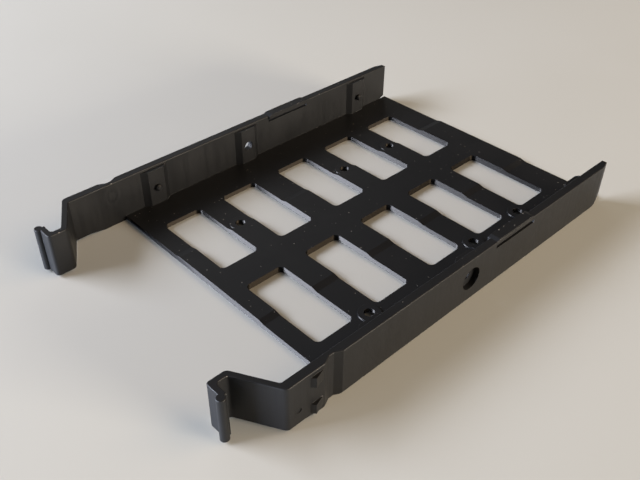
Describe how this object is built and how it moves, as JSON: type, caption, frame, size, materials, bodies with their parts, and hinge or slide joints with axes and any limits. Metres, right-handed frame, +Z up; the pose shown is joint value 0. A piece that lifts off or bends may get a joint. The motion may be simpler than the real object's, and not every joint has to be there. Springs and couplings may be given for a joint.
{
  "type": "hard drive caddy",
  "caption": "Moulded black plastic drive tray with a windowed base, low side walls with pegs and screw holes, and two sprung squeeze handles at the front.",
  "frame": {"origin": "on the surface the tray stands on, under the middle of its length, handles included", "axes": "+X to the right seen from the handles, +Y from the handles to the rear, +Z up"},
  "size_m": [0.1138, 0.1686, 0.0171],
  "materials": {
    "moulded_plastic": "satin, fine moulded texture"
  },
  "bodies": {
    "root": {"caddy_tray": "moulded_plastic"}
  },
  "joints": []
}
